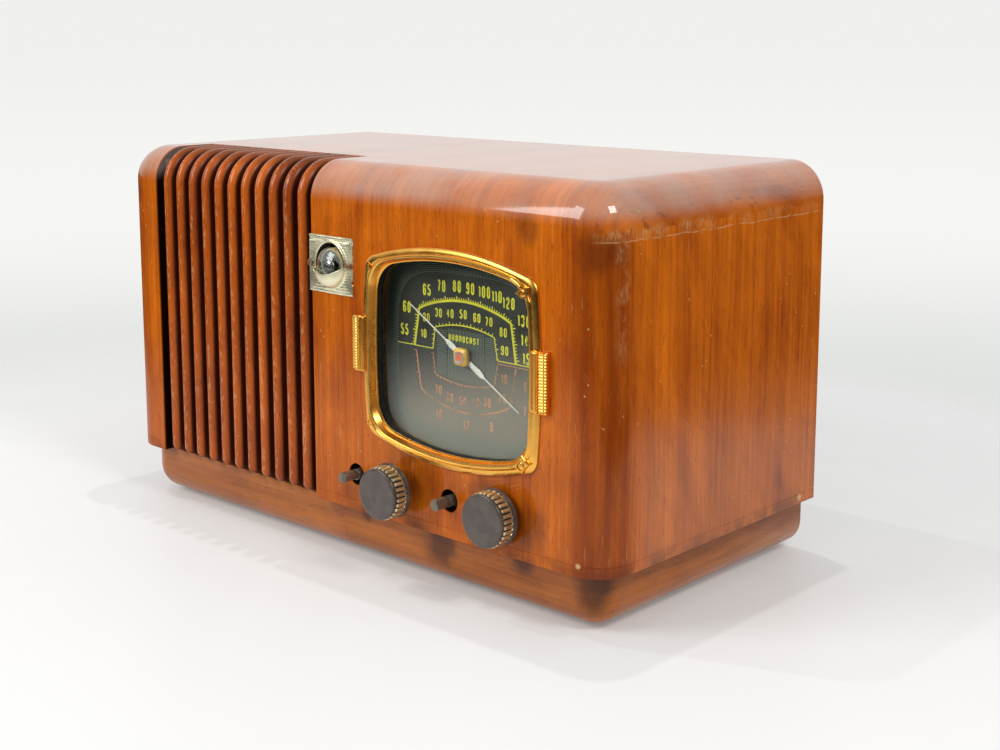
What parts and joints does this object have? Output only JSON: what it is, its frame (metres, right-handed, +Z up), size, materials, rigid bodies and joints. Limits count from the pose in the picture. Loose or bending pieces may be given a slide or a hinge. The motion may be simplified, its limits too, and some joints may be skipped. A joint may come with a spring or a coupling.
{
  "type": "table radio receiver",
  "caption": "Table radio in a bent wood cabinet with a louvred loudspeaker grille, a round-cornered dial with a turning pointer, a tuning eye and a row of shafts and knobs.",
  "frame": {"origin": "middle of the whole radio at the plane of its feet", "axes": "+X to the right seen from the front, +Y from the front to the back, +Z up"},
  "size_m": [0.4, 0.215, 0.23],
  "materials": {
    "cabinet_veneer": "glossy lacquer over red-brown veneer, worn at the edges",
    "grille_wood": "lacquered red-brown solid wood",
    "plinth_wood": "lacquered red-brown wood, darker at the foot",
    "board_wood": "bare plywood",
    "baffle_wood": "dark stained board",
    "grille_cloth": "dark brown woven cloth",
    "felt": "dark felt",
    "gilt_brass": "polished gilt",
    "window_glass": "clear",
    "dial_paint": "printed dark green-grey scale",
    "sheet_steel": "plated sheet",
    "lamp_brass": "dull",
    "lamp_glass": "clear bulb",
    "pointer_paint": "cream paint",
    "plated_steel": "plated",
    "drive_cord": "waxed dial cord",
    "eye_brass": "pale gilt, ribbed and worn",
    "rusty_steel": "rusty",
    "eye_glass": "clear dome",
    "basket_paint": "black enamel",
    "cone_paper": "grey-black pressed paper",
    "pot_paint": "black enamel",
    "core_iron": "lacquered laminations",
    "screw_steel": "zinc plated",
    "chassis_steel": "dull cadmium grey",
    "phenolic": "brown laminate",
    "black_rubber": "black",
    "plate_aluminium": "bright vanes",
    "shaft_brass": "worn",
    "knob_plastic": "dark brown moulding with a metal band",
    "control_case": "plated case",
    "nut_brass": "dull",
    "tube_glass": "clear bulb on a dark base",
    "transformer_paint": "black enamel",
    "can_aluminium": "drawn can"
  },
  "bodies": {
    "cabinet": {"grille_bar_1": "grille_wood", "grille_bar_2": "grille_wood", "grille_bar_3": "grille_wood", "grille_bar_4": "grille_wood", "grille_bar_5": "grille_wood", "grille_bar_6": "grille_wood", "grille_bar_7": "grille_wood", "grille_bar_8": "grille_wood", "grille_bar_9": "grille_wood", "grille_bar_10": "grille_wood", "grille_bar_11": "grille_wood", "cabinet_shell": "cabinet_veneer", "grille_cloth": "grille_cloth", "baffle_board": "baffle_wood", "plinth": "plinth_wood", "bottom_board": "board_wood", "felt_feet": "felt", "dial_escutcheon": "gilt_brass", "escutcheon_screws": "gilt_brass", "dial_glass": "window_glass", "dial_plate": "dial_paint", "dial_bracket": "sheet_steel", "lamp_sockets": "lamp_brass", "dial_lamps": "lamp_glass", "dial_cord": "drive_cord", "eye_plate": "eye_brass", "eye_plate_screws": "rusty_steel", "eye_tube": "eye_glass", "eye_clamp": "sheet_steel", "speaker_basket": "basket_paint", "speaker_magnet": "pot_paint", "output_transformer": "core_iron", "speaker_screws": "screw_steel", "chassis": "chassis_steel", "chassis_bolts": "screw_steel", "terminal_strip": "phenolic", "cord_grommet": "black_rubber", "gang_frame": "sheet_steel", "gang_stator": "plate_aluminium", "volume_control": "control_case", "tone_control": "control_case", "band_switch": "phenolic", "shaft_nuts": "nut_brass", "tube_sockets": "phenolic", "signal_tubes": "tube_glass", "output_tube": "tube_glass", "rectifier_tube": "tube_glass", "power_transformer": "transformer_paint", "if_cans": "can_aluminium", "filter_capacitor": "can_aluminium"},
    "tuner": {"gang_rotor": "plate_aluminium", "dial_drum": "plated_steel", "dial_pointer": "pointer_paint"},
    "tuning_spindle": {"tuning_shaft": "shaft_brass", "tuning_knob": "knob_plastic"},
    "volume_spindle": {"volume_shaft": "shaft_brass", "volume_knob": "knob_plastic"},
    "tone_spindle": {"tone_shaft": "shaft_brass"},
    "band_spindle": {"band_shaft": "shaft_brass"},
    "cone": {"speaker_cone": "cone_paper"}
  },
  "joints": [
    {"name": "tuner_turn", "type": "hinge", "parent": "cabinet", "child": "tuner", "pos_m": [0.094, -0.0605, 0.131], "axis": [0, 1, 0], "range_deg": [-31, 149]},
    {"name": "tuning_knob_turn", "type": "hinge", "parent": "cabinet", "child": "tuning_spindle", "pos_m": [0.1307, -0.0685, 0.054], "axis": [0, 1, 0], "range_deg": [-248, 1192]},
    {"name": "volume_turn", "type": "hinge", "parent": "cabinet", "child": "volume_spindle", "pos_m": [0.0573, -0.0685, 0.054], "axis": [0, 1, 0], "range_deg": [-150, 150]},
    {"name": "tone_turn", "type": "hinge", "parent": "cabinet", "child": "tone_spindle", "pos_m": [0.0206, -0.0685, 0.054], "axis": [0, 1, 0], "range_deg": [-150, 150]},
    {"name": "band_turn", "type": "hinge", "parent": "cabinet", "child": "band_spindle", "pos_m": [0.094, -0.0685, 0.054], "axis": [0, 1, 0], "range_deg": [0, 30]},
    {"name": "cone_slide", "type": "slide", "parent": "cabinet", "child": "cone", "axis": [0, 1, 0], "range_m": [-0.001, 0.001], "stiffness_N_per_m": 3000}
  ],
  "couplings": [
    {"joint": "tuning_knob_turn", "follows": "tuner_turn", "ratio": 8}
  ]
}
